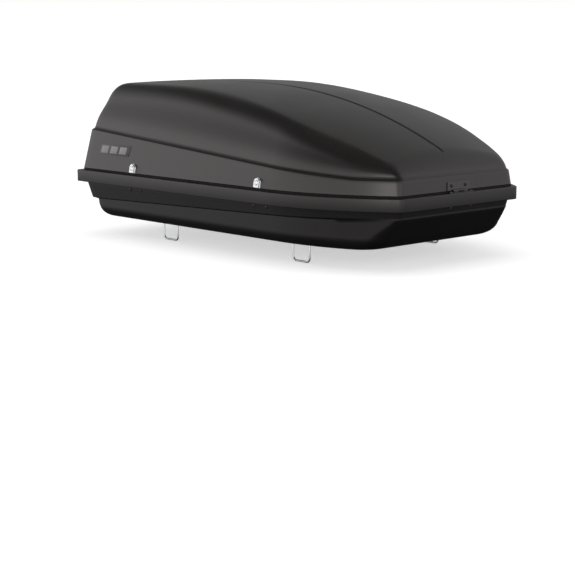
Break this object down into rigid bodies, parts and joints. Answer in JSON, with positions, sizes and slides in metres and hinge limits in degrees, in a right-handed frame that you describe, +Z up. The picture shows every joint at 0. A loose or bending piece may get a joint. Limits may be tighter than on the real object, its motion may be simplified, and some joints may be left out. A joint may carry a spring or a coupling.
{
  "type": "roof cargo box",
  "caption": "Hard roof cargo box: a moulded tub with a rim, a sloping lid hinged at the nose, side locks, a lid stay and U-bolt clamps for roof bars.",
  "frame": {"origin": "on the underside of the tub's floor, where it sits on the roof bars, midway along the length and on the centreline", "axes": "+X to the nose, +Y to the far side, +Z up"},
  "size_m": [1.6, 0.965, 0.6035],
  "materials": {
    "lid_plastic": "satin textured ABS, black",
    "tub_plastic": "satin textured ABS, black",
    "seal_rubber": "black sealing rubber",
    "knob_plastic": "black moulded nylon",
    "lock_silver": "satin nickel die casting",
    "black_steel": "black coated steel",
    "zinc_steel": "zinc plated steel",
    "emblem_grey": "satin grey badge"
  },
  "bodies": {
    "base": {"base_tub": "tub_plastic", "rim_seal": "seal_rubber", "hinge_base_leaf": "black_steel", "hinge_pin": "zinc_steel", "hinge_base_bolt_a": "black_steel", "hinge_base_bolt_b": "black_steel", "rear_floor_rail": "zinc_steel", "front_floor_rail": "zinc_steel", "stay_bracket": "black_steel", "stay_pin": "zinc_steel", "rear_near_lock_strike": "zinc_steel", "rear_near_lock_rivet_a": "black_steel", "rear_near_lock_rivet_b": "black_steel", "rear_far_lock_strike": "zinc_steel", "rear_far_lock_rivet_a": "black_steel", "rear_far_lock_rivet_b": "black_steel", "front_near_lock_strike": "zinc_steel", "front_near_lock_rivet_a": "black_steel", "front_near_lock_rivet_b": "black_steel", "front_far_lock_strike": "zinc_steel", "front_far_lock_rivet_a": "black_steel", "front_far_lock_rivet_b": "black_steel", "rear_near_clamp_plate": "knob_plastic", "rear_far_clamp_plate": "knob_plastic", "front_near_clamp_plate": "knob_plastic", "front_far_clamp_plate": "knob_plastic"},
    "lid": {"lid_shell": "lid_plastic", "hinge_lid_leaf": "black_steel", "hinge_lid_bolt_a": "black_steel", "hinge_lid_bolt_b": "black_steel", "near_emblem": "emblem_grey", "far_emblem": "emblem_grey", "stay_catch": "black_steel", "rear_near_lock_housing": "lock_silver", "rear_far_lock_housing": "lock_silver", "front_near_lock_housing": "lock_silver", "front_far_lock_housing": "lock_silver"},
    "stay": {"stay_rod": "zinc_steel"},
    "rear_near_lock": {"rear_near_lock_barrel": "lock_silver", "rear_near_lock_cam": "zinc_steel"},
    "rear_far_lock": {"rear_far_lock_barrel": "lock_silver", "rear_far_lock_cam": "zinc_steel"},
    "front_near_lock": {"front_near_lock_barrel": "lock_silver", "front_near_lock_cam": "zinc_steel"},
    "front_far_lock": {"front_far_lock_barrel": "lock_silver", "front_far_lock_cam": "zinc_steel"},
    "rear_near_clamp_u_bolt": {"rear_near_clamp_u_bolt": "zinc_steel"},
    "rear_near_clamp_knob_a": {"rear_near_clamp_knob_a": "knob_plastic"},
    "rear_near_clamp_knob_b": {"rear_near_clamp_knob_b": "knob_plastic"},
    "rear_far_clamp_u_bolt": {"rear_far_clamp_u_bolt": "zinc_steel"},
    "rear_far_clamp_knob_a": {"rear_far_clamp_knob_a": "knob_plastic"},
    "rear_far_clamp_knob_b": {"rear_far_clamp_knob_b": "knob_plastic"},
    "front_near_clamp_u_bolt": {"front_near_clamp_u_bolt": "zinc_steel"},
    "front_near_clamp_knob_a": {"front_near_clamp_knob_a": "knob_plastic"},
    "front_near_clamp_knob_b": {"front_near_clamp_knob_b": "knob_plastic"},
    "front_far_clamp_u_bolt": {"front_far_clamp_u_bolt": "zinc_steel"},
    "front_far_clamp_knob_a": {"front_far_clamp_knob_a": "knob_plastic"},
    "front_far_clamp_knob_b": {"front_far_clamp_knob_b": "knob_plastic"}
  },
  "joints": [
    {"name": "lid_hinge", "type": "hinge", "parent": "base", "child": "lid", "pos_m": [0.789, 0, 0.1939], "axis": [0, 1, 0], "range_deg": [0, 30]},
    {"name": "stay_pivot", "type": "hinge", "parent": "base", "child": "stay", "pos_m": [0.12, -0.4375, 0.158], "axis": [0, 1, 0], "range_deg": [0, 90]},
    {"name": "rear_near_lock_turn", "type": "hinge", "parent": "lid", "child": "rear_near_lock", "pos_m": [-0.45, -0.46041, 0.21105], "axis": [0, -0.9867, 0.1628], "range_deg": [0, 90]},
    {"name": "rear_far_lock_turn", "type": "hinge", "parent": "lid", "child": "rear_far_lock", "pos_m": [-0.45, 0.46041, 0.21105], "axis": [0, 0.9867, 0.1628], "range_deg": [0, 90]},
    {"name": "front_near_lock_turn", "type": "hinge", "parent": "lid", "child": "front_near_lock", "pos_m": [0.264, -0.46041, 0.21105], "axis": [0, -0.9867, 0.1628], "range_deg": [0, 90]},
    {"name": "front_far_lock_turn", "type": "hinge", "parent": "lid", "child": "front_far_lock", "pos_m": [0.264, 0.46041, 0.21105], "axis": [0, 0.9867, 0.1628], "range_deg": [0, 90]},
    {"name": "rear_near_clamp_knob_a_turn", "type": "hinge", "parent": "base", "child": "rear_near_clamp_knob_a", "pos_m": [-0.418, -0.34, 0.029], "axis": [0, 0, 1], "range_deg": [0, 1440]},
    {"name": "rear_near_clamp_knob_b_turn", "type": "hinge", "parent": "base", "child": "rear_near_clamp_knob_b", "pos_m": [-0.334, -0.34, 0.029], "axis": [0, 0, 1], "range_deg": [0, 1440]},
    {"name": "rear_near_clamp_u_bolt_drop", "type": "slide", "parent": "base", "child": "rear_near_clamp_u_bolt", "axis": [0, 0, -1], "range_m": [0, 0.005]},
    {"name": "rear_far_clamp_knob_a_turn", "type": "hinge", "parent": "base", "child": "rear_far_clamp_knob_a", "pos_m": [-0.418, 0.34, 0.029], "axis": [0, 0, 1], "range_deg": [0, 1440]},
    {"name": "rear_far_clamp_knob_b_turn", "type": "hinge", "parent": "base", "child": "rear_far_clamp_knob_b", "pos_m": [-0.334, 0.34, 0.029], "axis": [0, 0, 1], "range_deg": [0, 1440]},
    {"name": "rear_far_clamp_u_bolt_drop", "type": "slide", "parent": "base", "child": "rear_far_clamp_u_bolt", "axis": [0, 0, -1], "range_m": [0, 0.005]},
    {"name": "front_near_clamp_knob_a_turn", "type": "hinge", "parent": "base", "child": "front_near_clamp_knob_a", "pos_m": [0.314, -0.34, 0.029], "axis": [0, 0, 1], "range_deg": [0, 1440]},
    {"name": "front_near_clamp_knob_b_turn", "type": "hinge", "parent": "base", "child": "front_near_clamp_knob_b", "pos_m": [0.398, -0.34, 0.029], "axis": [0, 0, 1], "range_deg": [0, 1440]},
    {"name": "front_near_clamp_u_bolt_drop", "type": "slide", "parent": "base", "child": "front_near_clamp_u_bolt", "axis": [0, 0, -1], "range_m": [0, 0.005]},
    {"name": "front_far_clamp_knob_a_turn", "type": "hinge", "parent": "base", "child": "front_far_clamp_knob_a", "pos_m": [0.314, 0.34, 0.029], "axis": [0, 0, 1], "range_deg": [0, 1440]},
    {"name": "front_far_clamp_knob_b_turn", "type": "hinge", "parent": "base", "child": "front_far_clamp_knob_b", "pos_m": [0.398, 0.34, 0.029], "axis": [0, 0, 1], "range_deg": [0, 1440]},
    {"name": "front_far_clamp_u_bolt_drop", "type": "slide", "parent": "base", "child": "front_far_clamp_u_bolt", "axis": [0, 0, -1], "range_m": [0, 0.005]}
  ],
  "couplings": [
    {"joint": "stay_pivot", "follows": "lid_hinge", "ratio": 3},
    {"joint": "rear_near_clamp_knob_b_turn", "follows": "rear_near_clamp_knob_a_turn", "ratio": 1},
    {"joint": "rear_near_clamp_u_bolt_drop", "follows": "rear_near_clamp_knob_a_turn", "m_per_rad": 0.00019894},
    {"joint": "rear_far_clamp_knob_b_turn", "follows": "rear_far_clamp_knob_a_turn", "ratio": 1},
    {"joint": "rear_far_clamp_u_bolt_drop", "follows": "rear_far_clamp_knob_a_turn", "m_per_rad": 0.00019894},
    {"joint": "front_near_clamp_knob_b_turn", "follows": "front_near_clamp_knob_a_turn", "ratio": 1},
    {"joint": "front_near_clamp_u_bolt_drop", "follows": "front_near_clamp_knob_a_turn", "m_per_rad": 0.00019894},
    {"joint": "front_far_clamp_knob_b_turn", "follows": "front_far_clamp_knob_a_turn", "ratio": 1},
    {"joint": "front_far_clamp_u_bolt_drop", "follows": "front_far_clamp_knob_a_turn", "m_per_rad": 0.00019894}
  ]
}
